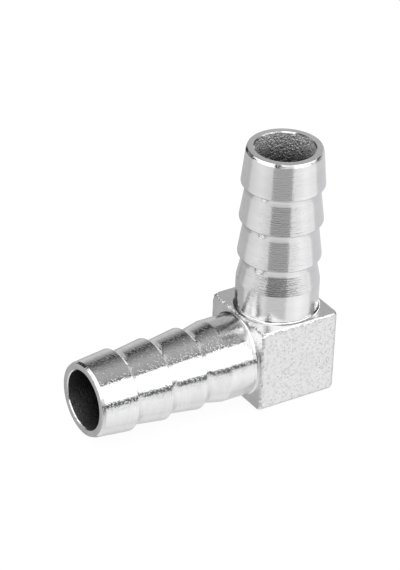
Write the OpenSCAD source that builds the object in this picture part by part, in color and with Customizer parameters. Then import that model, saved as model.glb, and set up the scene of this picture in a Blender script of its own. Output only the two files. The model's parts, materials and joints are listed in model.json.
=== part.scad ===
// Ninety degree hose barb elbow, investment cast in one piece of stainless steel.
// Both tails and the two block faces around them are turned, the other four faces are as cast.
// The origin is on the flat base, straight below the point where the two tail axes cross.
// One tail points up, along +Z, and the other points along -X. The block's broad faces look
// along -Y and +Y.

/* [Block] */
// Width of the block across its two broad cast faces
block_w = 14.2; // [13.4:0.1:20]
// Distance from the crossing of the axes to each turned face
turned_face = 7; // [6.8:0.1:10]
// Distance from the crossing of the axes to the base and to the back, both as cast
cast_face = 6.75; // [6.6:0.05:10]
// Radius of the casting's edges
cast_edge_r = 0.9; // [0.5:0.1:1.5]
// Metal that the turning tool takes off each turned face
facing_cut = 0.3; // [0.1:0.05:0.45]

/* [Tails] */
// Diameter of the plain stretch beside the block
root_d = 12.8; // [11.4:0.1:13]
// Radius of the fillet between the plain stretch and the block
foot_r = 0.4; // [0.2:0.05:0.6]
// Length of the plain stretch, from the block to the last cone
plain_len = 4.7; // [1:0.1:15]
// Length of the last cone, which runs out into the plain stretch
run_out_len = 2.95; // [1:0.05:8]
// Number of barbs on each tail
barb_count = 3; // [1:1:6]
// Distance from one barb crest to the next
barb_pitch = 6.05; // [3.5:0.05:10]
// Diameter at the barb crests
crest_d = 12.8; // [12.2:0.1:14]
// Length of the narrow land on each crest
crest_land = 0.2; // [0.1:0.05:1]
// Diameter of the necks behind the barbs
neck_d = 11.56; // [10.6:0.02:12]
// Length of the hollow behind each crest, from the crest to its neck
hollow_len = 1.3; // [0.6:0.05:1.9]
// Radius of the round-nosed tool that cuts the hollows
hollow_r = 6; // [2:0.1:10]
// Distance from the first crest to the end face
nose_len = 5.95; // [3:0.05:10]
// Diameter of the first cone where it meets the end chamfer
nose_d = 11.76; // [10.8:0.02:12]
// Height of the end chamfer, measured along the radius
chamfer_rise = 0.2; // [0.1:0.05:0.4]
// Length of the end chamfer, measured along the axis
chamfer_len = 0.5; // [0.2:0.05:1]

/* [Passage] */
// Diameter of the two bores
bore_d = 9.2; // [4:0.1:9.8]
// Bevel at each mouth, the same along the radius and along the axis
mouth_bevel = 0.15; // [0.05:0.05:0.3]

/* [Hidden] */
$fn = 128;
steel = [0.78, 0.79, 0.8];

root_r = root_d / 2;
crest_r = crest_d / 2;
neck_r = neck_d / 2;
nose_r = nose_d / 2;
bore_r = bore_d / 2;

// Stations along a tail, measured from the crossing of the axes
run_out_end = turned_face + plain_len;
last_neck = run_out_end + run_out_len;
last_crest = last_neck + hollow_len;
first_crest = last_crest + (barb_count - 1) * barb_pitch;
tail_end = first_crest + nose_len;

// How deep a turned edge lies inside the cast faces next to it
edge_inset = cast_edge_r - sqrt(pow(cast_edge_r, 2) - pow(cast_edge_r - facing_cut, 2));

// Rectangle between two corners, with round corners
module rounded_rectangle(low, high, r) {
    translate([low[0] + r, low[1]]) square([high[0] - low[0] - 2 * r, high[1] - low[1]]);
    translate([low[0], low[1] + r]) square([high[0] - low[0], high[1] - low[1] - 2 * r]);
    for (x = [low[0] + r, high[0] - r], y = [low[1] + r, high[1] - r])
        translate([x, y]) circle(r);
}

// The block as it leaves the mould, with stock on the two sides that are faced later
module cast_block() {
    low = -turned_face - facing_cut;
    high = turned_face + facing_cut;
    half_w = block_w / 2;
    intersection() {
        // across the width, seen from the front
        rotate([90, 0, 0])
            linear_extrude(block_w, center = true)
                rounded_rectangle([low, -cast_face], [cast_face, high], cast_edge_r);
        // seen from above
        translate([0, 0, -cast_face])
            linear_extrude(cast_face + high)
                rounded_rectangle([low, -half_w], [cast_face, half_w], cast_edge_r);
        // seen from the side
        rotate([90, 0, 90])
            translate([0, 0, low])
                linear_extrude(cast_face - low)
                    rounded_rectangle([-half_w, -cast_face], [half_w, high], cast_edge_r);
    }
}

// The block with both turned faces cut flat
module block() {
    room = block_w + turned_face + cast_face;
    intersection() {
        cast_block();
        translate([-turned_face, -room / 2, turned_face - room]) cube(room);
    }
}

// Half section of one tail with plain steps: x is the radius and y the station along the tail
function barb_section(i) = let (crest = last_crest + i * barb_pitch) [
    [neck_r, crest - hollow_len],
    [crest_r, crest],
    [crest_r, crest + crest_land]
];

tail_section = concat(
    [[0, 0], [root_r, 0], [root_r, run_out_end]],
    [for (i = [0 : barb_count - 1]) each barb_section(i)],
    [
        [nose_r, tail_end - chamfer_len],
        [nose_r - chamfer_rise, tail_end],
        [0, tail_end]
    ]
);

// What the round-nosed tool takes off behind a crest: it runs level at the neck, rises towards the
// crest and leaves a short square step under it
module hollow(neck) {
    intersection() {
        translate([neck_r + hollow_r, neck]) circle(hollow_r);
        translate([neck_r, neck]) square([hollow_r, hollow_len]);
    }
}

module turned_tail() {
    rotate_extrude()
        difference() {
            polygon(tail_section);
            for (i = [0 : barb_count - 1])
                hollow(last_neck + i * barb_pitch);
        }
}

// Concave fillet at the foot of a tail, which ends where the turned face does
module foot_fillet() {
    flat_half_w = block_w / 2 - edge_inset;
    flat_back = cast_face - edge_inset;
    ring_r = root_r + foot_r;
    intersection() {
        difference() {
            translate([0, 0, turned_face - foot_r]) cylinder(r = ring_r, h = 2 * foot_r);
            translate([0, 0, turned_face + foot_r])
                rotate_extrude()
                    translate([ring_r, 0]) circle(foot_r);
        }
        translate([-turned_face, -flat_half_w, turned_face - foot_r])
            cube([turned_face + flat_back, 2 * flat_half_w, 2 * foot_r]);
    }
}

// Straight bore from the crossing of the axes out through the bevelled mouth
module bore() {
    past_mouth = tail_end + mouth_bevel;
    rotate_extrude()
        polygon([
            [0, 0],
            [bore_r, 0],
            [bore_r, tail_end - mouth_bevel],
            [bore_r + 2 * mouth_bevel, past_mouth],
            [0, past_mouth]
        ]);
}

// Flow passage: the two bores meet in a round corner of the same size, as the core left it
module passage() {
    both_ways() bore();
    sphere(bore_r);
}

// The second tail and its bore mirror the first ones across the elbow's diagonal
module both_ways() {
    children();
    mirror([1, 0, 1]) children();
}

module elbow() {
    color(steel)
        translate([0, 0, cast_face])
            difference() {
                union() {
                    block();
                    both_ways() {
                        turned_tail();
                        foot_fillet();
                    }
                }
                passage();
            }
}

elbow();
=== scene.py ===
"""Looks of the hose barb elbow: a skin of turned and cast steel, a light tent, a floor and a camera."""

import json
import math

import bmesh
import bpy
from mathutils import Matrix, Vector, noise


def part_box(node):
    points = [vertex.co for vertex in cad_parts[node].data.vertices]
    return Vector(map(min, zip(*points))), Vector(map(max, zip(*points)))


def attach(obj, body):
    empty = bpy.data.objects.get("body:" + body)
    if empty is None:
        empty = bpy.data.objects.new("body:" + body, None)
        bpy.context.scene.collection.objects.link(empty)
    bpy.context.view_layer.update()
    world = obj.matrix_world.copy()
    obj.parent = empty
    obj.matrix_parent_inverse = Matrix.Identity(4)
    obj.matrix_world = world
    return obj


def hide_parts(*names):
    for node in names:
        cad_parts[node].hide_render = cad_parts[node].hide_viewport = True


bl_info = {
    "name": "Hose barb elbow",
    "version": (1, 0, 0),
    "blender": (4, 5, 0),
    "location": "3D View > Sidebar > Elbow",
    "description": "Builds the skin of a cast and turned steel hose elbow, and its studio",
    "category": "Add Mesh",
}

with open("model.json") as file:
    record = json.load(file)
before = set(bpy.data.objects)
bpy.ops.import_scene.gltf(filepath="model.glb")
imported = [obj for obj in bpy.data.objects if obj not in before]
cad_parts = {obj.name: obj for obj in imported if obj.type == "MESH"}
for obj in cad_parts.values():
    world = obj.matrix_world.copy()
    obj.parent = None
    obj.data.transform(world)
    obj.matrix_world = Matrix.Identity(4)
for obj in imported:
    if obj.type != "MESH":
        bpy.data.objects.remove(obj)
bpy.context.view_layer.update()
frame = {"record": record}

MM = 0.001
FULL_TURN = 2 * math.pi
WHITE = (1.0, 1.0, 1.0)

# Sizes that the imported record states: the plain stretch of a tail, and the bore
mounts = {mount["name"]: mount for mount in frame["record"]["mounts"]}
plain_stretch = mounts["tail_side"]
AXIS_HEIGHT = plain_stretch["pos_m"][2]
ROOT_RADIUS = plain_stretch["dims"]["r_mm"] * MM
PLAIN_END = -plain_stretch["pos_m"][0] + plain_stretch["dims"]["length_mm"] * MM / 2
BORE_RADIUS = mounts["bore_up"]["dims"]["r_mm"] * MM
cad_low, cad_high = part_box("elbow")
TAIL_END = -cad_low.x
BACK_FACE = cad_high.x
BLOCK_WIDTH = cad_high.y - cad_low.y

# What the casting's round edge leaves off the width of a turned face
ROUNDED_OFF = 0.229 * MM

# Shifts that keep the noises of one surface from lining up with each other
RIPPLE_SHIFT = Vector((7.1, 3.3, 9.2))
PIT_SHIFT = Vector((1.7, 5.2, 4.4))
GRAIN_SHIFT = Vector((3.1, 8.8, 1.9))

# Order of the finishes in the skin's material slots
TURNED_UP, TURNED_SIDE, FACED_UP, FACED_SIDE, CAST, BORE_UP, BORE_SIDE = range(7)


def length(name, default, description):
    """A size in metres for the sidebar."""
    return bpy.props.FloatProperty(
        name=name,
        description=description,
        default=default,
        min=0,
        precision=6,
        subtype="DISTANCE",
        unit="LENGTH",
    )


def angle(name, degrees, description):
    """An angle for the sidebar, with its default in degrees."""
    return bpy.props.FloatProperty(
        name=name,
        description=description,
        default=math.radians(degrees),
        subtype="ANGLE",
        unit="ROTATION",
    )


def share(name, default, description):
    """A share between none and all."""
    return bpy.props.FloatProperty(
        name=name, description=description, default=default, min=0, max=1, subtype="FACTOR"
    )


def level(name, default, description):
    """Brightness of a card, where 1 is white."""
    return bpy.props.FloatProperty(name=name, description=description, default=default, min=0)


def count(name, default, description):
    """A whole number for the sidebar."""
    return bpy.props.IntProperty(name=name, description=description, default=default, min=1)


def colour(name, default, description):
    """A linear colour for the sidebar."""
    return bpy.props.FloatVectorProperty(
        name=name, description=description, default=default, size=3, min=0, max=1, subtype="COLOR"
    )


class ElbowTailSizes(bpy.types.PropertyGroup):
    """Sizes of one turned tail. Stations run from the crossing of the two axes."""

    root_radius: length("Root radius", ROOT_RADIUS, "Radius of the plain stretch beside the block")
    crest_radius: length("Crest radius", 6.4 * MM, "Radius at the barb crests")
    neck_radius: length("Neck radius", 5.78 * MM, "Radius of the necks behind the barbs")
    nose_radius: length("Nose radius", 5.88 * MM, "Radius where the first cone meets the chamfer")
    face_station: length("Block face", 7 * MM, "Station of the turned face round the tail")
    foot_radius: length("Foot radius", 0.4 * MM, "Radius of the fillet at the block")
    plain_end: length("Plain end", PLAIN_END, "Station where the plain stretch ends")
    last_crest: length("Last crest", 15.95 * MM, "Station of the crest nearest the block")
    barb_pitch: length("Barb pitch", 6.05 * MM, "Distance from one crest to the next")
    barb_count: count("Barbs", 3, "Number of barbs on each tail")
    hollow_length: length("Hollow", 1.3 * MM, "Length of the hollow behind each crest")
    hollow_radius: length("Hollow radius", 6 * MM, "Radius of the round-nosed tool that cut the hollows")
    step_radius: length("Step radius", 0.3 * MM, "Rounding at the foot of the step under each crest")
    crest_land: length("Crest land", 0.2 * MM, "Length of the narrow land on each crest")
    tail_end: length("Tail end", TAIL_END, "Station of the end face")
    chamfer_rise: length("Chamfer rise", 0.2 * MM, "Height of the end chamfer along the radius")
    chamfer_length: length("Chamfer length", 0.5 * MM, "Length of the end chamfer")
    crest_break: length("Crest break", 0.17 * MM, "Rounding of each crest's sharp edge")
    edge_break: length("Edge break", 0.07 * MM, "Rounding where a cone begins")
    tool_line: length("Tool line", 0.03 * MM, "Depth of the line that the tool leaves above the fillet")
    flat_reach: length("Flat reach", BACK_FACE - ROUNDED_OFF, "How far the turned face reaches back")
    segments: count("Segments", 224, "Faces round the tail")


class ElbowBlockSizes(bpy.types.PropertyGroup):
    """Sizes of the cast block."""

    width: length("Width", BLOCK_WIDTH, "Width across the two broad faces")
    turned_face: length("Turned face", 7 * MM, "Distance from the crossing to each turned face")
    cast_face: length("Cast face", BACK_FACE, "Distance from the crossing to the base and the back")
    edge_radius: length("Edge radius", 0.9 * MM, "Radius of the casting's edges")
    facing_cut: length("Facing cut", 0.3 * MM, "Metal that the tool took off each turned face")
    grid: length("Grid", 0.18 * MM, "Size of the skin's faces")
    peel_depth: length("Peel depth", 0.03 * MM, "Depth of the cast skin's waves")
    peel_size: length("Peel size", 0.75 * MM, "Length of the cast skin's waves")
    pit_depth: length("Pit depth", 0.24 * MM, "Depth of the pits along the raw edge")
    pit_size: length("Pit size", 0.32 * MM, "Size of the pits along the raw edge")
    pit_reach: length("Pit reach", 1.1 * MM, "Distance from the raw edge at which the pits end")


class ElbowPassageSizes(bpy.types.PropertyGroup):
    """Sizes of the flow passage."""

    bore_radius: length("Bore radius", BORE_RADIUS, "Radius of both bores and of the round corner")
    mouth_bevel: length("Mouth bevel", 0.15 * MM, "Bevel at each mouth")
    grain_depth: length("Grain depth", 0.038 * MM, "Depth of the cast grain in the bores")
    grain_size: length("Grain size", 0.45 * MM, "Size of the cast grain in the bores")
    grain_reach: length("Grain reach", 6.5 * MM, "How far the grain runs in from each mouth")
    smooth_mouth: length("Smooth mouth", 0.4 * MM, "Length at each mouth that has no grain")
    segments: count("Segments", 132, "Faces round the bore")
    grain_rings: count("Grain rings", 32, "Rings of faces along the grain")
    deep_rings: count("Deep rings", 12, "Rings of faces along the rest of the bore")


class ElbowFinish(bpy.types.PropertyGroup):
    """Finishes of the steel."""

    steel: colour("Steel", (0.8, 0.8, 0.8), "Colour of the turned and cast steel")
    bore_steel: colour("Bore steel", (0.93, 0.93, 0.935), "Colour of the skin in the bores")
    turned_roughness: share("Turned roughness", 0.15, "Roughness of the turned tails")
    faced_roughness: share("Faced roughness", 0.22, "Roughness of the faced ends and block faces")
    cast_roughness: share("Cast roughness", 0.27, "Roughness of the cast skin")
    bore_roughness: share("Bore roughness", 0.44, "Roughness of the skin in the bores")
    feed_pitch: length("Feed pitch", 0.34 * MM, "Distance from one turning mark to the next")
    ring_pitch: length("Ring pitch", 0.21 * MM, "Distance from one ring to the next on faced steel")


class ElbowStudio(bpy.types.PropertyGroup):
    """Camera, floor and light tent."""

    camera_place: bpy.props.FloatVectorProperty(
        name="Camera place",
        description="Where the camera stands, from the crossing of the axes",
        default=(-0.25063, -0.35459, 0.27052),
        size=3,
        subtype="TRANSLATION",
        unit="LENGTH",
    )
    camera_azimuth: angle("Camera azimuth", -33.71, "Direction of the camera round the object")
    camera_elevation: angle("Camera elevation", 30.94, "Height of the camera above the horizon")
    camera_roll: angle("Camera roll", 2.55, "Turn of the camera about its own axis")
    lens: bpy.props.FloatProperty(
        name="Lens", description="Focal length", default=210.8, min=1, subtype="DISTANCE_CAMERA"
    )
    shift_x: bpy.props.FloatProperty(name="Shift X", description="Lens shift", default=-0.0006)
    shift_y: bpy.props.FloatProperty(name="Shift Y", description="Lens shift", default=-0.0085)
    floor_white: level("Floor white", 0.92, "Part of the floor's white that no shadow darkens")
    floor_grey: level("Floor grey", 0.13, "Part of the floor's white that shadows darken")
    fill: level("Fill", 0.9, "Even light from all round")
    lamp: level("Lamp", 1.7, "Brightness of the lamp screens in the metal")
    room: level("Room", 0.045, "Brightness of the dark room between the cards")


def fill_socket(tree, socket, value):
    """Links a socket to another one, or gives it a plain value."""
    if isinstance(value, bpy.types.NodeSocket):
        tree.links.new(value, socket)
    else:
        socket.default_value = value


def add_node(tree, kind, *inputs, **settings):
    """A node with its settings, whose inputs are values or sockets in their order; None leaves one."""
    made = tree.nodes.new(kind)
    for name, value in settings.items():
        setattr(made, name, value)
    wanted = [socket for socket in made.inputs if socket.enabled]
    for socket, value in zip(wanted, inputs):
        if value is not None:
            fill_socket(tree, socket, value)
    return made


def first(made):
    """The first socket of a node that is in use."""
    return next(socket for socket in made.outputs if socket.enabled)


def maths(tree, operation, *inputs):
    """The result of one sum on numbers."""
    return first(add_node(tree, "ShaderNodeMath", *inputs, operation=operation))


def point(tree, radius, station):
    """A point of a tail's section: x is its radius and z its station."""
    return first(add_node(tree, "ShaderNodeCombineXYZ", radius, 0.0, station))


def choose(tree, data_type, index, options):
    """The option that stands at an index."""
    made = tree.nodes.new("GeometryNodeIndexSwitch")
    made.data_type = data_type
    while len(made.index_switch_items) < len(options):
        made.index_switch_items.new()
    tree.links.new(index, made.inputs[0])
    for socket, value in zip(made.inputs[1:], options):
        fill_socket(tree, socket, value)
    return first(made)


TAIL_INPUTS = [
    ("Root Radius", "root_radius"),
    ("Crest Radius", "crest_radius"),
    ("Neck Radius", "neck_radius"),
    ("Nose Radius", "nose_radius"),
    ("Block Face", "face_station"),
    ("Foot Radius", "foot_radius"),
    ("Plain End", "plain_end"),
    ("Last Crest", "last_crest"),
    ("Barb Pitch", "barb_pitch"),
    ("Barb Count", "barb_count"),
    ("Hollow Length", "hollow_length"),
    ("Hollow Radius", "hollow_radius"),
    ("Step Radius", "step_radius"),
    ("Crest Land", "crest_land"),
    ("Tail End", "tail_end"),
    ("Chamfer Rise", "chamfer_rise"),
    ("Chamfer Length", "chamfer_length"),
    ("Crest Break", "crest_break"),
    ("Edge Break", "edge_break"),
    ("Tool Line", "tool_line"),
    ("Flat Reach", "flat_reach"),
    ("Segments", "segments"),
]


def tail_tree():
    """Geometry Nodes for one turned tail: its section is laid out point by point, then revolved."""
    tree = bpy.data.node_groups.new("Turned tail", "GeometryNodeTree")
    tree.interface.new_socket("Geometry", in_out="OUTPUT", socket_type="NodeSocketGeometry")
    for name, _ in TAIL_INPUTS:
        whole = name in ("Barb Count", "Segments")
        kind = "NodeSocketInt" if whole else "NodeSocketFloat"
        tree.interface.new_socket(name, in_out="INPUT", socket_type=kind)
    tree.interface.new_socket("Material", in_out="INPUT", socket_type="NodeSocketMaterial")
    size = tree.nodes.new("NodeGroupInput").outputs
    index = first(tree.nodes.new("GeometryNodeInputIndex"))

    # the foot, from the axis inside the block out to the plain stretch. Its edge sinks a little
    # below the turned face, and the tool's line runs on above the fillet
    overlap = 1.5 * MM
    sink = 0.012 * MM
    line_length = 0.28 * MM
    foot_reach = maths(tree, "ADD", size["Root Radius"], size["Foot Radius"])
    inside = maths(tree, "SUBTRACT", size["Block Face"], overlap)
    sunk_face = maths(tree, "SUBTRACT", size["Block Face"], sink)
    line_radius = maths(tree, "SUBTRACT", size["Root Radius"], size["Tool Line"])
    fillet_top = maths(tree, "ADD", size["Block Face"], size["Foot Radius"])
    line_end = maths(tree, "ADD", fillet_top, line_length)
    line_out = maths(tree, "ADD", line_end, size["Tool Line"])
    foot = [
        point(tree, 0.0, inside),
        point(tree, foot_reach, inside),
        point(tree, foot_reach, sunk_face),
        point(tree, line_radius, sunk_face),
        point(tree, line_radius, line_end),
        point(tree, size["Root Radius"], line_out),
        point(tree, size["Root Radius"], size["Plain End"]),
    ]
    foot_break = [0.0, 0.0, 0.0, size["Foot Radius"], 0.0, 0.0, size["Edge Break"]]

    # the hollow's arc runs level at the neck and rises to the foot of the step under the crest
    hollow_turn = maths(
        tree, "ARCSINE", maths(tree, "DIVIDE", size["Hollow Length"], size["Hollow Radius"])
    )
    half_tangent = maths(tree, "TANGENT", maths(tree, "MULTIPLY", hollow_turn, 0.5))
    corner_gap = maths(tree, "MULTIPLY", size["Hollow Radius"], half_tangent)
    arc_rise = maths(tree, "MULTIPLY", size["Hollow Length"], half_tangent)
    step_foot = maths(tree, "ADD", size["Neck Radius"], arc_rise)

    # the barbs repeat at their pitch: neck, corner of the hollow, step, crest and the land's end
    place = maths(tree, "SUBTRACT", index, len(foot))
    barb_size = 5
    barb = maths(tree, "FLOOR", maths(tree, "DIVIDE", maths(tree, "ADD", place, 0.5), barb_size))
    part = maths(tree, "SUBTRACT", place, maths(tree, "MULTIPLY", barb, barb_size))
    crest = maths(tree, "MULTIPLY_ADD", barb, size["Barb Pitch"], size["Last Crest"])
    neck = maths(tree, "SUBTRACT", crest, size["Hollow Length"])
    barb_points = [
        point(tree, size["Neck Radius"], neck),
        point(tree, size["Neck Radius"], maths(tree, "ADD", neck, corner_gap)),
        point(tree, step_foot, crest),
        point(tree, size["Crest Radius"], crest),
        point(tree, size["Crest Radius"], maths(tree, "ADD", crest, size["Crest Land"])),
    ]
    barb_break = [
        0.0,
        size["Hollow Radius"],
        size["Step Radius"],
        size["Crest Break"],
        size["Edge Break"],
    ]

    # the end: chamfer and end face
    barbs_end = maths(tree, "MULTIPLY_ADD", size["Barb Count"], barb_size, len(foot))
    end_place = maths(tree, "SUBTRACT", index, barbs_end)
    chamfer_start = maths(tree, "SUBTRACT", size["Tail End"], size["Chamfer Length"])
    end_radius = maths(tree, "SUBTRACT", size["Nose Radius"], size["Chamfer Rise"])
    end_points = [
        point(tree, size["Nose Radius"], chamfer_start),
        point(tree, end_radius, size["Tail End"]),
        point(tree, 0.0, size["Tail End"]),
    ]
    rim_break = 0.03 * MM
    end_break = [rim_break, rim_break, 0.0]

    # one list of points in their order along the section
    in_barbs = maths(tree, "GREATER_THAN", index, len(foot) - 0.5)
    past_barbs = maths(tree, "GREATER_THAN", index, maths(tree, "SUBTRACT", barbs_end, 0.5))
    stretch = maths(tree, "ADD", in_barbs, past_barbs)
    section_point = choose(
        tree,
        "VECTOR",
        stretch,
        [
            choose(tree, "VECTOR", index, foot),
            choose(tree, "VECTOR", part, barb_points),
            choose(tree, "VECTOR", end_place, end_points),
        ],
    )
    corner_radius = choose(
        tree,
        "FLOAT",
        stretch,
        [
            choose(tree, "FLOAT", index, foot_break),
            choose(tree, "FLOAT", part, barb_break),
            choose(tree, "FLOAT", end_place, end_break),
        ],
    )
    total = maths(tree, "ADD", barbs_end, len(end_points))
    points = add_node(tree, "GeometryNodePoints", total, section_point)
    kept = add_node(
        tree, "GeometryNodeStoreNamedAttribute", first(points), None, "corner", corner_radius
    )
    line = add_node(tree, "GeometryNodePointsToCurves", first(kept), 0, index)
    corner = add_node(tree, "GeometryNodeInputNamedAttribute", "corner", data_type="FLOAT")
    corner_steps = 7
    section = add_node(
        tree, "GeometryNodeFilletCurve", first(line), corner_steps, first(corner), True, mode="POLY"
    )

    # the revolved skin: one row of the grid for each point of the section
    domain = add_node(tree, "GeometryNodeAttributeDomainSize", first(section), component="CURVE")
    rows = first(domain)
    columns = maths(tree, "ADD", size["Segments"], 1)
    grid = add_node(tree, "GeometryNodeMeshGrid", 1.0, 1.0, columns, rows)
    column = maths(tree, "FLOOR", maths(tree, "DIVIDE", maths(tree, "ADD", index, 0.5), rows))
    row = maths(tree, "SUBTRACT", index, maths(tree, "MULTIPLY", column, rows))
    position = first(tree.nodes.new("GeometryNodeInputPosition"))
    sampled = tree.nodes.new("GeometryNodeSampleIndex")
    sampled.data_type = "FLOAT_VECTOR"
    tree.links.new(first(section), sampled.inputs["Geometry"])
    tree.links.new(position, sampled.inputs["Value"])
    tree.links.new(row, sampled.inputs["Index"])
    parts = add_node(tree, "ShaderNodeSeparateXYZ", first(sampled)).outputs
    turn = maths(tree, "MULTIPLY", maths(tree, "DIVIDE", column, size["Segments"]), FULL_TURN)
    across = maths(tree, "MULTIPLY", parts["X"], maths(tree, "COSINE", turn))
    along = maths(tree, "MULTIPLY", parts["X"], maths(tree, "SINE", turn))

    # the flare at the foot stops where the turned face does
    held = maths(tree, "MINIMUM", across, size["Flat Reach"])
    in_flare = maths(tree, "LESS_THAN", parts["Z"], fillet_top)
    kept_part = maths(tree, "MULTIPLY", across, maths(tree, "SUBTRACT", 1.0, in_flare))
    across = maths(tree, "MULTIPLY_ADD", held, in_flare, kept_part)
    place_on_tail = first(add_node(tree, "ShaderNodeCombineXYZ", across, along, parts["Z"]))
    turned = add_node(tree, "GeometryNodeSetPosition", first(grid), None, place_on_tail)
    weld_distance = 0.001 * MM
    merged = add_node(tree, "GeometryNodeMergeByDistance", first(turned), None, weld_distance)
    solid = add_node(tree, "GeometryNodeRealizeInstances", first(merged))
    finished = add_node(tree, "GeometryNodeSetMaterial", first(solid), None, size["Material"])
    tree.links.new(first(finished), tree.nodes.new("NodeGroupOutput").inputs[0])
    return tree


def plain_mesh(holder, name):
    """The evaluated mesh of an object as a mesh of its own. The object and its modifiers go."""
    bpy.context.view_layer.update()
    ready = bpy.context.evaluated_depsgraph_get()
    made = bpy.data.meshes.new_from_object(holder.evaluated_get(ready), depsgraph=ready)
    made.name = name
    source = holder.data
    bpy.data.objects.remove(holder)
    bpy.data.meshes.remove(source)
    return made


def outward(mesh):
    """Turns all faces of a closed mesh outwards."""
    work = bmesh.new()
    work.from_mesh(mesh)
    bmesh.ops.recalc_face_normals(work, faces=work.faces)
    work.to_mesh(mesh)
    work.free()
    return mesh


def mesh_from(work, name):
    """What was laid out in a bmesh, as a mesh of its own."""
    mesh = bpy.data.meshes.new(name)
    work.to_mesh(mesh)
    work.free()
    return mesh


def put_in_scene(name, mesh):
    """An object with this mesh, at the origin."""
    holder = bpy.data.objects.new(name, mesh)
    bpy.context.scene.collection.objects.link(holder)
    return holder


def turned_tail(sizes, finish):
    """The upright tail as a closed mesh, from its Geometry Nodes tree."""
    holder = put_in_scene("tail", bpy.data.meshes.new("tail"))
    modifier = holder.modifiers.new("Turned tail", "NODES")
    modifier.node_group = tail_tree()
    inputs = {
        item.name: item.identifier
        for item in modifier.node_group.interface.items_tree
        if item.item_type == "SOCKET" and item.in_out == "INPUT"
    }
    for name, size in TAIL_INPUTS:
        modifier[inputs[name]] = getattr(sizes, size)
    modifier[inputs["Material"]] = finish
    return outward(plain_mesh(holder, "tail"))


def assign_finishes(mesh, finishes, index_of):
    """Gives a mesh all the finishes in their order, and each face the one that a rule names."""
    mesh.materials.clear()
    for finish in finishes:
        mesh.materials.append(finish)
    for face in mesh.polygons:
        face.material_index = index_of(face)


def by_mark(marked, there, elsewhere):
    """A rule that gives the marked faces one finish and all others another."""
    return lambda face: there if marked[face.index] else elsewhere


def is_end_face(face, tail_end):
    """Whether a face of the upright tail belongs to its flat end."""
    margin = 0.02 * MM
    return face.center.z > tail_end - margin and abs(face.normal.z) > 0.9


def peel(place, sizes):
    """How deep the cast skin lies below its full size at a place: its waves, and its pits."""
    ripple_size = 0.45 * sizes.peel_size
    wave = noise.noise(place / sizes.peel_size)
    ripple = noise.noise(place / ripple_size + RIPPLE_SHIFT)
    depth = sizes.peel_depth * min(1, max(0, 0.5 + 0.45 * wave + 0.3 * ripple))

    # pits along the raw edge between the two turned faces
    gap = Vector((place.x + sizes.turned_face, 0, place.z - sizes.turned_face)).length
    near = max(0, 1 - gap / sizes.pit_reach)
    pit = max(0, 1 + 1.6 * noise.noise(place / sizes.pit_size + PIT_SHIFT))
    return depth + sizes.pit_depth * near * pit


def cast_block(sizes):
    """The block as cast: a rounded box with stock on its two turned sides and a wavy skin."""
    low = Vector((-sizes.turned_face - sizes.facing_cut, -sizes.width / 2, -sizes.cast_face))
    high = Vector((sizes.cast_face, sizes.width / 2, sizes.turned_face + sizes.facing_cut))
    cells = [max(2, round((high[axis] - low[axis]) / sizes.grid)) for axis in range(3)]
    inset = Vector((sizes.edge_radius,) * 3)
    core_low, core_high = low + inset, high - inset
    extent = high - low
    work = bmesh.new()
    corners = {}

    def corner(key):
        if key not in corners:
            place = Vector([low[way] + extent[way] * key[way] / cells[way] for way in range(3)])
            core = Vector([min(max(place[way], core_low[way]), core_high[way]) for way in range(3)])
            out = (place - core).normalized()
            skin = core + out * sizes.edge_radius
            corners[key] = work.verts.new(skin - out * peel(skin, sizes))
        return corners[key]

    for axis in range(3):
        across, along = [other for other in range(3) if other != axis]
        for side in (0, cells[axis]):
            for column in range(cells[across]):
                for row in range(cells[along]):
                    ring = []
                    for right, up in ((0, 0), (1, 0), (1, 1), (0, 1)):
                        key = [0, 0, 0]
                        key[axis] = side
                        key[across] = column + right
                        key[along] = row + up
                        ring.append(corner(tuple(key)))
                    work.faces.new(ring)
    return outward(mesh_from(work, "block"))


def between(low, high, steps):
    """Evenly spaced numbers from low to high."""
    return [low + (high - low) * step / steps for step in range(steps + 1)]


def lathe(name, section, segments, grain=None):
    """A closed mesh turned about the Z axis. grain moves a point along its radius."""
    work = bmesh.new()
    rings = []
    for radius, station in section:
        if radius == 0:
            rings.append([work.verts.new((0, 0, station))] * segments)
            continue
        ring = []
        for step in range(segments):
            turn = FULL_TURN * step / segments
            place = Vector((radius * math.cos(turn), radius * math.sin(turn), station))
            if grain:
                place.xy += grain(place) * place.xy.normalized()
            ring.append(work.verts.new(place))
        rings.append(ring)
    for lower, upper in zip(rings, rings[1:]):
        for step in range(segments):
            ahead = (step + 1) % segments
            loop = [lower[step], lower[ahead], upper[ahead], upper[step]]
            work.faces.new(list(dict.fromkeys(loop)))
    return outward(mesh_from(work, name))


def bore(sizes, tail_end):
    """The space of one bore, from the crossing out past its bevelled mouth, with its cast grain."""
    wall_end = tail_end - sizes.mouth_bevel
    grain_start = wall_end - sizes.grain_reach
    grain_end = tail_end - sizes.smooth_mouth

    def grain(place):
        if not grain_start < place.z < grain_end:
            return 0.0
        fine_size = 0.5 * sizes.grain_size
        coarse = noise.noise(place / sizes.grain_size)
        fine = noise.noise(place / fine_size + GRAIN_SHIFT)
        return sizes.grain_depth * (0.7 * coarse + 0.5 * fine)

    stations = between(0, grain_start, sizes.deep_rings)
    stations += between(grain_start, wall_end, sizes.grain_rings)[1:]
    past_mouth = tail_end + sizes.mouth_bevel
    section = [(0, 0)]
    section += [(sizes.bore_radius, station) for station in stations]
    section += [(sizes.bore_radius + 2 * sizes.mouth_bevel, past_mouth), (0, past_mouth)]
    return lathe("bore", section, sizes.segments, grain)


def round_corner(sizes):
    """The ball where the two bores meet."""
    rings = sizes.segments // 2
    section = []
    for ring in range(rings + 1):
        turn = math.pi * ring / rings
        radius = 0 if ring in (0, rings) else sizes.bore_radius * math.sin(turn)
        section.append((radius, -sizes.bore_radius * math.cos(turn)))
    return lathe("corner", section, sizes.segments)


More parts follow.
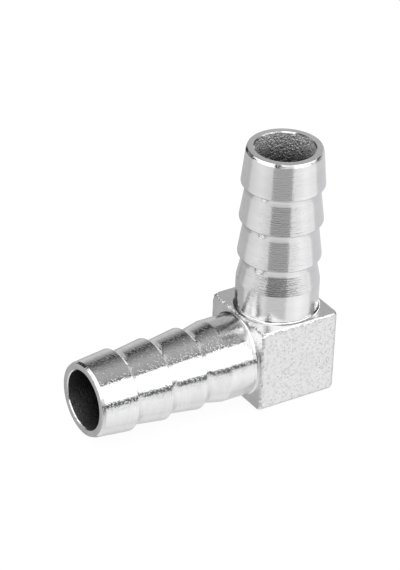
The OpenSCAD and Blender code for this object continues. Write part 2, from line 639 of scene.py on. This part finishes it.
def box_mesh(name, low, high):
    """A plain box between two corners, used only to cut with."""
    work = bmesh.new()
    bmesh.ops.create_cube(work, size=1)
    for vertex in work.verts:
        vertex.co = [
            low[axis] + (high[axis] - low[axis]) * (vertex.co[axis] + 0.5) for axis in range(3)
        ]
    return outward(mesh_from(work, name))


# Swaps the upright tail's place for the one that points along -X
SIDE_SWAP = Matrix(((0, 0, -1, 0), (0, 1, 0, 0), (-1, 0, 0, 0), (0, 0, 0, 1)))


def to_side(mesh, name):
    """A copy of an upright mesh, mirrored to the side tail's place."""
    made = mesh.copy()
    made.name = name
    made.transform(SIDE_SWAP)
    made.flip_normals()
    return made


def combine(base, operation, *others):
    """The base mesh with the others added or cut away, each face keeping its finish."""
    holder = put_in_scene("work", base)
    helpers = []
    for other in others:
        helper = put_in_scene("helper", other)
        helpers.append(helper)
        modifier = holder.modifiers.new("Combine", "BOOLEAN")
        modifier.operation = operation
        modifier.solver = "MANIFOLD"
        modifier.object = helper
    made = plain_mesh(holder, base.name)
    for helper in helpers:
        source = helper.data
        bpy.data.objects.remove(helper)
        bpy.data.meshes.remove(source)
    return made


def smooth_by_area(mesh, name):
    """Smooth shading that keeps the flat and straight faces true beside their small roundings."""
    sharp_from = math.radians(28)
    mesh.shade_smooth()
    mesh.set_sharp_from_angle(angle=sharp_from)
    holder = put_in_scene(name, mesh)
    modifier = holder.modifiers.new("Weighted normals", "WEIGHTED_NORMAL")
    modifier.mode = "FACE_AREA_WITH_ANGLE"
    modifier.keep_sharp = True
    return plain_mesh(holder, name)


class NodeWriter:
    """Writes shader nodes for one material."""

    def __init__(self, name):
        self.material = bpy.data.materials.new(name)
        self.material.use_nodes = True
        self.tree = self.material.node_tree
        self.tree.nodes.clear()
        self.output = self.tree.nodes.new("ShaderNodeOutputMaterial")

    def place(self, scale=(1.0, 1.0, 1.0), offset=(0.0, 0.0, 0.0)):
        """Object coordinates, stretched and moved."""
        source = self.tree.nodes.new("ShaderNodeTexCoord").outputs["Object"]
        made = self.tree.nodes.new("ShaderNodeMapping")
        made.inputs["Scale"].default_value = scale
        made.inputs["Location"].default_value = offset
        self.tree.links.new(source, made.inputs["Vector"])
        return made.outputs["Vector"]

    def noise(self, place, size, detail=2.0, rough=0.5):
        """Noise with patches of about this size in metres."""
        made = self.tree.nodes.new("ShaderNodeTexNoise")
        made.inputs["Scale"].default_value = 1 / size
        made.inputs["Detail"].default_value = detail
        made.inputs["Roughness"].default_value = rough
        self.tree.links.new(place, made.inputs["Vector"])
        return made.outputs["Fac"]

    def spread(self, value, low, high, to_low, to_high, soft=False):
        """A value moved from one range to another, and held inside it."""
        made = self.tree.nodes.new("ShaderNodeMapRange")
        made.interpolation_type = "SMOOTHSTEP" if soft else "LINEAR"
        self.tree.links.new(value, made.inputs["Value"])
        limits = ("From Min", low), ("From Max", high), ("To Min", to_low), ("To Max", to_high)
        for name, number in limits:
            made.inputs[name].default_value = number
        return made.outputs["Result"]

    def blend(self, share_of_second, first_colour, second_colour):
        """A colour between two, by a share."""
        made = self.tree.nodes.new("ShaderNodeMix")
        made.data_type = "RGBA"
        self.tree.links.new(share_of_second, made.inputs["Factor"])
        first_socket, second_socket, result = made.inputs[6], made.inputs[7], made.outputs[2]
        for socket, value in ((first_socket, first_colour), (second_socket, second_colour)):
            plain = not isinstance(value, bpy.types.NodeSocket)
            fill_socket(self.tree, socket, (*value, 1) if plain else value)
        return result

    def relief(self, height, depth, below=None):
        """A bump of this depth in metres, over another one."""
        made = self.tree.nodes.new("ShaderNodeBump")
        made.inputs["Strength"].default_value = 1
        made.inputs["Distance"].default_value = depth
        self.tree.links.new(height, made.inputs["Height"])
        if below is not None:
            self.tree.links.new(below, made.inputs["Normal"])
        return made.outputs["Normal"]

    def ended_in(self, shader):
        """The material, with this shader on its surface."""
        self.tree.links.new(shader.outputs[0], self.output.inputs["Surface"])
        return self.material

    def metal(self, tint, roughness, normal):
        """The material, as metal."""
        shader = self.tree.nodes.new("ShaderNodeBsdfPrincipled")
        shader.inputs["Metallic"].default_value = 1
        self.tree.links.new(tint, shader.inputs["Base Color"])
        self.tree.links.new(roughness, shader.inputs["Roughness"])
        self.tree.links.new(normal, shader.inputs["Normal"])
        return self.ended_in(shader)


def scaled(steel, amount):
    """A colour made lighter or darker."""
    return [channel * amount for channel in steel]


def turned_steel(name, finish, tail, axis, chatter, painted_shade_tint):
    """Turned steel with feed marks square to an axis: 0 for the side tail and 2 for the upright one.

    chatter is the height of its flecks, and the last argument is the share of the steel's brightness
    that painted shade leaves in the corner under each crest.
    """
    writer = NodeWriter(name)
    tree = writer.tree
    along_marks = 0.12
    stretched = [along_marks] * 3
    stretched[axis] = 1.0
    rings = writer.place(scale=stretched)
    even = writer.place()
    fine_marks = writer.noise(rings, size=0.22 * MM, detail=1.0)
    finest_marks = writer.noise(rings, size=0.06 * MM, detail=0.0)
    broad_marks = writer.noise(rings, size=1.1 * MM, detail=1.0)
    along = add_node(tree, "ShaderNodeSeparateXYZ", even).outputs[axis]
    feed = maths(tree, "SINE", maths(tree, "MULTIPLY", along, FULL_TURN / finish.feed_pitch))
    chattered = writer.noise(even, size=0.28 * MM, detail=0.3)
    flecks = writer.spread(chattered, 0.54, 0.68, 0, 1, soft=True)
    normal = writer.relief(feed, depth=0.0011 * MM)
    normal = writer.relief(fine_marks, depth=0.011 * MM, below=normal)
    normal = writer.relief(finest_marks, depth=0.006 * MM, below=normal)
    normal = writer.relief(flecks, depth=chatter, below=normal)
    tint = writer.blend(
        writer.spread(broad_marks, 0.35, 0.65, 0, 1), scaled(finish.steel, 0.96), finish.steel
    )

    # painted shade in the corner under each crest: the colour darkens there
    if axis == 0:
        station = maths(tree, "MULTIPLY", along, -1.0)
    else:
        station = maths(tree, "SUBTRACT", along, AXIS_HEIGHT)
    past_crest = maths(tree, "SUBTRACT", station, tail.last_crest)
    gap = maths(tree, "PINGPONG", past_crest, tail.barb_pitch / 2)
    painted_crest_shade = writer.spread(gap, 0.09 * MM, 0.14 * MM, 1, 0, soft=True)
    first_crest = tail.last_crest + (tail.barb_count - 1) * tail.barb_pitch
    past_root = writer.spread(station, tail.plain_end, tail.last_crest - MM, 0, 1)
    before_nose = writer.spread(station, first_crest + MM, first_crest + 2 * MM, 1, 0)
    painted_crest_shade = maths(tree, "MULTIPLY", painted_crest_shade, maths(tree, "MULTIPLY", past_root, before_nose))
    tint = writer.blend(painted_crest_shade, tint, scaled(finish.steel, painted_shade_tint))
    roughness = writer.spread(
        fine_marks, 0.3, 0.7, finish.turned_roughness * 0.8, finish.turned_roughness * 1.25
    )
    return writer.metal(tint, roughness, normal)


def faced_steel(name, finish, axis):
    """Faced steel with rings about a tail's axis, for the end faces and the block's turned faces."""
    writer = NodeWriter(name)
    even = writer.place()
    flat = [1.0, 1.0, 1.0]
    flat[axis] = 0.0
    centre = [0.0, 0.0, 0.0]
    if axis == 0:
        centre[2] = -AXIS_HEIGHT
    level_place = writer.place(scale=flat, offset=centre)
    distance = add_node(writer.tree, "ShaderNodeVectorMath", level_place, operation="LENGTH")
    radius = distance.outputs["Value"]
    rings = maths(
        writer.tree, "SINE", maths(writer.tree, "MULTIPLY", radius, FULL_TURN / finish.ring_pitch)
    )
    grain = writer.noise(even, size=0.3 * MM, detail=3.0)
    patches = writer.noise(even, size=1.6 * MM, detail=1.0)
    normal = writer.relief(rings, depth=0.0016 * MM)
    normal = writer.relief(grain, depth=0.02 * MM, below=normal)
    tint = writer.blend(
        writer.spread(patches, 0.35, 0.65, 0, 1), scaled(finish.steel, 0.93), finish.steel
    )
    roughness = writer.spread(
        patches, 0.3, 0.7, finish.faced_roughness * 0.85, finish.faced_roughness * 1.15
    )
    return writer.metal(tint, roughness, normal)


def cast_steel(name, finish):
    """Cast steel, blasted and tumbled: fine grain over an uneven skin, whose colour darkens in the
    hollows of its waves as painted shade.
    """
    writer = NodeWriter(name)
    even = writer.place()
    waves = writer.noise(even, size=0.48 * MM, detail=2.0)
    grain = writer.noise(even, size=0.3 * MM, detail=1.0, rough=0.6)
    patches = writer.noise(even, size=2.2 * MM, detail=2.0)
    # painted shade: a mask of the waves' low spots, where the colour darkens
    pits = writer.spread(waves, 0.36, 0.48, 0, 1, soft=True)
    normal = writer.relief(waves, depth=0.17 * MM)
    normal = writer.relief(grain, depth=0.045 * MM, below=normal)
    unshaded_skin = writer.blend(
        writer.spread(patches, 0.35, 0.65, 0, 1), finish.steel, scaled(finish.steel, 1.04)
    )
    tint = writer.blend(pits, scaled(finish.steel, 0.89), unshaded_skin)
    roughness = writer.spread(
        patches, 0.3, 0.7, finish.cast_roughness * 0.85, finish.cast_roughness * 1.15
    )
    return writer.metal(tint, roughness, normal)


def bore_steel(name, steel, dullness, depth, tail_end, axis):
    """The skin that the core left in a bore: a coarse grain of this depth, with painted shade that
    darkens its colour inwards from the mouth.
    """
    writer = NodeWriter(name)
    even = writer.place()
    coarse = writer.noise(even, size=0.3 * MM, detail=1.0, rough=0.6)
    fine = writer.noise(even, size=0.15 * MM, detail=1.0)
    normal = writer.relief(coarse, depth=depth)
    normal = writer.relief(fine, depth=0.03 * MM, below=normal)
    along = add_node(writer.tree, "ShaderNodeSeparateXYZ", even).outputs[axis]
    if axis == 0:
        inwards = maths(writer.tree, "ADD", along, tail_end)
    else:
        inwards = maths(writer.tree, "SUBTRACT", tail_end + AXIS_HEIGHT, along)
    # painted shade: the colour darkens from the mouth inwards
    inside = writer.spread(inwards, 0.5 * MM, 6 * MM, 0, 1, soft=True)
    tint = writer.blend(inside, steel, scaled(steel, 0.35))
    roughness = writer.spread(fine, 0.3, 0.7, dullness * 0.8, dullness * 1.2)
    return writer.metal(tint, roughness, normal)


class ELBOW_OT_build_elbow(bpy.types.Operator):
    """Builds the elbow's skin: cast block, two turned tails and the flow passage, in one closed mesh"""

    bl_idname = "elbow.build_elbow"
    bl_label = "Build elbow"

    def execute(self, context):
        scene = context.scene
        tail, block, passage = scene.elbow_tail, scene.elbow_block, scene.elbow_passage
        finish = scene.elbow_finish
        mouth = tail.tail_end
        bore_bright, bore_dull = finish.bore_steel, finish.bore_roughness
        # painted shade: the side bore takes the bore's colour darkened to three tenths
        bore_painted_shade = scaled(bore_bright, 0.3)
        finishes = [
            # painted shade under the crests: strong on the upright tail, none on the side tail
            turned_steel(
                "turned_steel_up", finish, tail, axis=2, chatter=0.004 * MM, painted_shade_tint=0.15
            ),
            turned_steel(
                "turned_steel_side", finish, tail, axis=0, chatter=0.011 * MM, painted_shade_tint=1.0
            ),
            faced_steel("faced_steel_up", finish, axis=2),
            faced_steel("faced_steel_side", finish, axis=0),
            cast_steel("cast_steel", finish),
            bore_steel(
                "bore_steel_up", bore_bright, bore_dull, depth=0.15 * MM, tail_end=mouth, axis=2
            ),
            bore_steel(
                "bore_steel_side", bore_painted_shade, bore_dull, depth=0.05 * MM, tail_end=mouth, axis=0
            ),
        ]

        # the block as cast, faced on the two sides that carry the tails
        body = cast_block(block)
        assign_finishes(body, finishes, lambda face: CAST)
        reach = 2 * block.width
        top_cut = box_mesh("top_cut", (-reach, -reach, block.turned_face), (reach, reach, reach))
        side_cut = box_mesh("side_cut", (-reach, -reach, -reach), (-block.turned_face, reach, reach))
        assign_finishes(top_cut, finishes, lambda face: FACED_UP)
        assign_finishes(side_cut, finishes, lambda face: FACED_SIDE)
        body = combine(body, "DIFFERENCE", top_cut, side_cut)

        # the tails, turned all over but for their faced ends
        up = turned_tail(tail, finishes[TURNED_UP])
        side = to_side(up, "tail_side")
        ends = [is_end_face(face, tail.tail_end) for face in up.polygons]
        assign_finishes(up, finishes, by_mark(ends, FACED_UP, TURNED_UP))
        assign_finishes(side, finishes, by_mark(ends, FACED_SIDE, TURNED_SIDE))
        body = combine(body, "UNION", up, side)

        # the flow passage, as the core leaves it but for its turned bevels
        bore_up = bore(passage, tail.tail_end)
        bore_side = to_side(bore_up, "bore_side")
        corner = round_corner(passage)
        wall_end = tail.tail_end - passage.mouth_bevel
        bevels = [face.center.z > wall_end for face in bore_up.polygons]
        assign_finishes(bore_up, finishes, by_mark(bevels, TURNED_UP, BORE_UP))
        assign_finishes(bore_side, finishes, by_mark(bevels, TURNED_SIDE, BORE_SIDE))
        assign_finishes(corner, finishes, lambda face: BORE_SIDE)
        body = combine(body, "DIFFERENCE", bore_up, bore_side, corner)
        body.transform(Matrix.Translation((0, 0, AXIS_HEIGHT)))
        skin = put_in_scene("elbow_skin", smooth_by_area(body, "elbow_skin"))
        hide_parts("elbow")
        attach(skin, "root")
        return {"FINISHED"}


def glow(name, strength, tint=WHITE):
    """A card's even light."""
    writer = NodeWriter(name)
    shader = writer.tree.nodes.new("ShaderNodeEmission")
    shader.inputs["Color"].default_value = (*tint, 1)
    shader.inputs["Strength"].default_value = strength
    return writer.ended_in(shader)


def measured(writer, measure):
    """A measure of a card's place: its distance, its azimuth from front to right, or X, Y or Z."""
    place = writer.place()
    if measure == "distance":
        made = add_node(writer.tree, "ShaderNodeVectorMath", place, operation="LENGTH")
        return made.outputs["Value"]
    parts = add_node(writer.tree, "ShaderNodeSeparateXYZ", place).outputs
    if measure == "azimuth":
        ahead = maths(writer.tree, "MULTIPLY", parts["Y"], -1.0)
        return maths(writer.tree, "DEGREES", maths(writer.tree, "ARCTAN2", parts["X"], ahead))
    return parts[measure]


def graded_glow(name, **grades):
    """A card's light. Each grade is a measure with its stops, and their strengths are multiplied."""
    writer = NodeWriter(name)
    strength = None
    for measure, stops in grades.items():
        ramp = writer.tree.nodes.new("ShaderNodeFloatCurve")
        low, high = stops[0][0], stops[-1][0]
        top = max(level_there for _, level_there in stops)
        value = writer.spread(measured(writer, measure), low, high, 0, 1)
        writer.tree.links.new(value, ramp.inputs["Value"])
        curve = ramp.mapping.curves[0]
        while len(curve.points) < len(stops):
            curve.points.new(0.5, 0.5)
        for handle, (at, level_there) in zip(curve.points, stops):
            handle.location = ((at - low) / (high - low), level_there / top)
            handle.handle_type = "VECTOR"
        ramp.mapping.update()
        graded = maths(writer.tree, "MULTIPLY", first(ramp), top)
        strength = graded if strength is None else maths(writer.tree, "MULTIPLY", strength, graded)
    shader = writer.tree.nodes.new("ShaderNodeEmission")
    writer.tree.links.new(strength, shader.inputs["Strength"])
    return writer.ended_in(shader)


def card(name, corner_rows, finish):
    """A card of the light tent, seen only in the metal. corner_rows are rows of points."""
    work = bmesh.new()
    rows = [[work.verts.new(place) for place in row] for row in corner_rows]
    for lower, upper in zip(rows, rows[1:]):
        for step in range(len(lower) - 1):
            work.faces.new((lower[step], lower[step + 1], upper[step + 1], upper[step]))
    mesh = mesh_from(work, name)
    mesh.materials.append(finish)
    holder = put_in_scene(name, mesh)
    holder.visible_camera = False
    holder.visible_diffuse = False
    holder.visible_transmission = False
    holder.visible_volume_scatter = False
    holder.visible_shadow = False
    return holder


def strip(name, finish, low, high, left, right, distance=2.0):
    """A curved card parallel to the side tail, at a distance from it.

    low and high are angles over the tail, from level at the front. left and right are its two ends,
    as parts of the distance.
    """
    rows = []
    turn_steps = 12
    for turn in between(math.radians(low), math.radians(high), turn_steps):
        rows.append(
            [
                (distance * reach, -distance * math.cos(turn), distance * math.sin(turn))
                for reach in (left, right)
            ]
        )
    return card(name, rows, finish)


def wall(name, finish, left, right, low, high, distance=2.5):
    """An upright card round the object, between two azimuths from front to right and two elevations."""
    rows = []
    rise_steps, turn_steps = 8, 12
    for rise in between(math.radians(low), math.radians(high), rise_steps):
        row = []
        for turn in between(math.radians(left), math.radians(right), turn_steps):
            level_distance = distance * math.cos(rise)
            row.append(
                (
                    level_distance * math.sin(turn),
                    -level_distance * math.cos(turn),
                    distance * math.sin(rise),
                )
            )
        rows.append(row)
    return card(name, rows, finish)


def floor_sector(name, finish, left, right, near=65, far=5, depth=1.0):
    """A piece of the tent's floor, between two azimuths and two angles below the horizon."""
    rows = []
    turn_steps = 16
    turns = between(math.radians(left), math.radians(right), turn_steps)
    for drop in (near, far):
        radius = depth / math.tan(math.radians(drop))
        rows.append([(radius * math.sin(turn), -radius * math.cos(turn), -depth) for turn in turns])
    return card(name, rows, finish)


def light_tent(studio):
    """The cards that the metal reflects. Stops are pairs of a measure and the strength there."""

    def even_strip(name, strength, tint=WHITE, **place):
        strip(name, glow(name, strength, tint), **place)

    # the lamp screens
    lamp = studio.lamp
    even_strip("lamp_right", lamp, low=7.2, high=58.6, left=-0.1, right=2.3)
    even_strip("lamp_over", lamp, low=24, high=64, left=-0.85, right=-0.1)
    even_strip("lamp_high", lamp, low=64, high=86, left=-2.6, right=-0.42)
    wall("lamp_left", glow("lamp_left", lamp), left=-131, right=-62, low=5, high=38)

    # smaller cards, which only roundings, chamfers and level faces mirror
    even_strip("lamp_behind", 2.4, low=100, high=176, left=0.98, right=1.6, distance=1.7)
    even_strip("lamp_back", 0.38, low=128, high=162, left=-0.95, right=-0.4, distance=1.9)
    even_strip("card_top", 0.54, low=132, high=162, left=0.42, right=1.1, distance=1.9)
    even_strip("lamp_mouth", lamp, low=60, high=124, left=-0.42, right=-0.08, distance=1.9)
    even_strip("shade_mouth", 0.04, low=134, high=200, left=-0.3, right=0.14, distance=1.85)

    # the horizon at the front, the ceiling and the backdrop
    even_strip("haze_near", 0.8, low=3, high=24, left=-0.55, right=-0.1)
    even_strip("haze_far", 0.5, low=3, high=24, left=-0.85, right=-0.55)
    even_strip("horizon", 0.1, tint=(0.8, 0.9, 1.0), low=-6, high=6.4, left=-0.1, right=2.6)
    ceiling = graded_glow(
        "ceiling",
        Y=[(-0.88, 0.37), (-0.3, 0.45), (0.2, 0.465), (0.62, 0.336), (1.0, 0.2), (1.29, 0.08)],
    )
    strip("ceiling", ceiling, low=64, high=130, left=-0.42, right=2.0)
    backdrop = graded_glow(
        "backdrop",
        Z=[(-0.3, 0.71), (0.0, 0.71), (0.42, 0.66), (0.81, 0.44), (1.0, 0.28), (1.26, 0.08)],
    )
    strip("backdrop", backdrop, low=141, high=188, left=-0.3, right=1.6)

    # the floor by sectors
    right_floor = graded_glow(
        "floor_right",
        azimuth=[(-9, 0.955), (1, 0.955), (13, 1.02), (26, 1.1), (37, 1.07), (49, 0.98), (66, 0.98)],
        distance=[(1.1, 0.88), (1.56, 1.0), (2.46, 1.1), (3.2, 1.0), (8.2, 1.0)],
    )
    floor_sector("floor_right", right_floor, left=-9, right=20, far=7.2)
    floor_sector("floor_far_right", right_floor, left=20, right=66)
    back_right_floor = glow("floor_back_right", 0.74, (0.98, 0.98, 1.0))
    floor_sector("floor_back_right", back_right_floor, left=66, right=145)
    back_left_floor = graded_glow(
        "floor_back_left",
        distance=[(1.1, 0.4), (1.94, 0.45), (2.35, 0.61), (2.6, 0.6), (3.4, 0.5), (8.0, 0.45)],
    )
    floor_sector("floor_back_left", back_left_floor, left=145, right=223)
    left_floor = graded_glow(
        "floor_left",
        azimuth=[(-137, 0.79), (-131, 0.79), (-95, 0.95), (-71, 0.83), (-63, 0.83)],
    )
    floor_sector("floor_left", left_floor, left=223, right=297)
    front_floor = graded_glow(
        "floor_front",
        distance=[
            (1.1, 0.85),
            (1.95, 0.72),
            (2.5, 0.56),
            (2.95, 0.47),
            (3.9, 0.43),
            (5.2, 0.34),
            (8.2, 0.27),
        ],
    )
    floor_sector("floor_front", front_floor, left=297, right=351)
    middle_floor = glow("floor_middle", 0.92)
    floor_sector("floor_middle", middle_floor, left=0, right=360, near=89.9, far=65)

    # the dark room round it all
    room = glow("dark_room", studio.room)
    wall("dark_room", room, left=0, right=360, low=-89, high=89, distance=12.0)


def seen_directly(tree):
    """Whether a ray comes from the camera, or from metal or glass."""
    rays = tree.nodes.new("ShaderNodeLightPath").outputs
    seen = maths(tree, "MAXIMUM", rays["Is Camera Ray"], rays["Is Glossy Ray"])
    return maths(tree, "MAXIMUM", seen, rays["Is Transmission Ray"])


def studio_floor(studio):
    """The pale floor that the camera sees, with the object's shadow."""
    writer = NodeWriter("pale_floor")
    tree = writer.tree
    plain = tree.nodes.new("ShaderNodeEmission")
    plain.inputs["Strength"].default_value = studio.floor_white
    shaded = tree.nodes.new("ShaderNodeBsdfDiffuse")
    shaded.inputs["Color"].default_value = (studio.floor_grey,) * 3 + (1,)
    both = tree.nodes.new("ShaderNodeAddShader")
    tree.links.new(plain.outputs[0], both.inputs[0])
    tree.links.new(shaded.outputs[0], both.inputs[1])
    matte = tree.nodes.new("ShaderNodeBsdfDiffuse")
    matte.inputs["Color"].default_value = (0.8, 0.8, 0.8, 1)
    mixed = add_node(
        tree, "ShaderNodeMixShader", seen_directly(tree), matte.outputs[0], both.outputs[0]
    )
    writer.ended_in(mixed)
    half, below = 3.0, 0.02 * MM
    work = bmesh.new()
    corners = [(-half, -half), (half, -half), (half, half), (-half, half)]
    work.faces.new([work.verts.new((x, y, -below)) for x, y in corners])
    mesh = mesh_from(work, "studio_floor")
    mesh.materials.append(writer.material)
    holder = put_in_scene("studio_floor", mesh)
    holder.visible_glossy = False


def studio_world(studio):
    """White where it is seen directly or in metal and glass, and plain even light elsewhere."""
    world = bpy.data.worlds.new("studio")
    bpy.context.scene.world = world
    world.use_nodes = True
    tree = world.node_tree
    tree.nodes.clear()
    white = add_node(tree, "ShaderNodeBackground", (1, 1, 1, 1), 1.0)
    fill = add_node(tree, "ShaderNodeBackground", (1, 1, 1, 1), studio.fill)
    mixed = add_node(
        tree, "ShaderNodeMixShader", seen_directly(tree), fill.outputs[0], white.outputs[0]
    )
    output = tree.nodes.new("ShaderNodeOutputWorld")
    tree.links.new(mixed.outputs[0], output.inputs["Surface"])


def studio_camera(studio):
    """The camera at the photograph's angle."""
    data = bpy.data.cameras.new("camera")
    data.lens = studio.lens
    data.sensor_width = 36
    data.shift_x, data.shift_y = studio.shift_x, studio.shift_y
    data.clip_start, data.clip_end = 0.01, 100
    turn, rise = studio.camera_azimuth, studio.camera_elevation
    back = Vector(
        (
            math.sin(turn) * math.cos(rise),
            -math.cos(turn) * math.cos(rise),
            math.sin(rise),
        )
    )
    right = Vector((math.cos(turn), math.sin(turn), 0))
    up = back.cross(right)
    roll = studio.camera_roll
    rolled_right = right * math.cos(roll) + up * math.sin(roll)
    rolled_up = up * math.cos(roll) - right * math.sin(roll)
    turned = Matrix((rolled_right, rolled_up, back)).transposed().to_4x4()
    holder = bpy.data.objects.new("camera", data)
    bpy.context.scene.collection.objects.link(holder)
    place = Vector(studio.camera_place) + Vector((0, 0, AXIS_HEIGHT))
    holder.matrix_world = Matrix.Translation(place) @ turned
    bpy.context.scene.camera = holder


class ELBOW_OT_build_studio(bpy.types.Operator):
    """Builds the floor, the light tent, the even light and the camera"""

    bl_idname = "elbow.build_studio"
    bl_label = "Build studio"

    def execute(self, context):
        studio = context.scene.elbow_studio
        studio_floor(studio)
        light_tent(studio)
        studio_world(studio)
        studio_camera(studio)
        context.scene.view_settings.view_transform = "Standard"
        return {"FINISHED"}


class ELBOW_PT_panel(bpy.types.Panel):
    """Lists the elbow's builders in the sidebar"""

    bl_label = "Hose barb elbow"
    bl_idname = "ELBOW_PT_panel"
    bl_space_type = "VIEW_3D"
    bl_region_type = "UI"
    bl_category = "Elbow"

    def draw(self, context):
        for operator in (ELBOW_OT_build_elbow, ELBOW_OT_build_studio):
            self.layout.operator(operator.bl_idname)
        for name in SETTINGS:
            group = getattr(context.scene, name)
            box = self.layout.box()
            for prop in group.bl_rna.properties:
                if prop.identifier not in ("rna_type", "name"):
                    box.prop(group, prop.identifier)


SETTINGS = {
    "elbow_tail": ElbowTailSizes,
    "elbow_block": ElbowBlockSizes,
    "elbow_passage": ElbowPassageSizes,
    "elbow_finish": ElbowFinish,
    "elbow_studio": ElbowStudio,
}
CLASSES = (*SETTINGS.values(), ELBOW_OT_build_elbow, ELBOW_OT_build_studio, ELBOW_PT_panel)


def register():
    """Makes the builders, the panel and the scene's settings known"""
    for cls in CLASSES:
        bpy.utils.register_class(cls)
    for name, group in SETTINGS.items():
        setattr(bpy.types.Scene, name, bpy.props.PointerProperty(type=group))


def unregister():
    """Takes them away again"""
    for name in SETTINGS:
        delattr(bpy.types.Scene, name)
    for cls in reversed(CLASSES):
        bpy.utils.unregister_class(cls)


def main():
    """Builds the elbow and its studio."""
    register()
    bpy.ops.elbow.build_elbow()
    bpy.ops.elbow.build_studio()


if __name__ == "__main__":
    main()
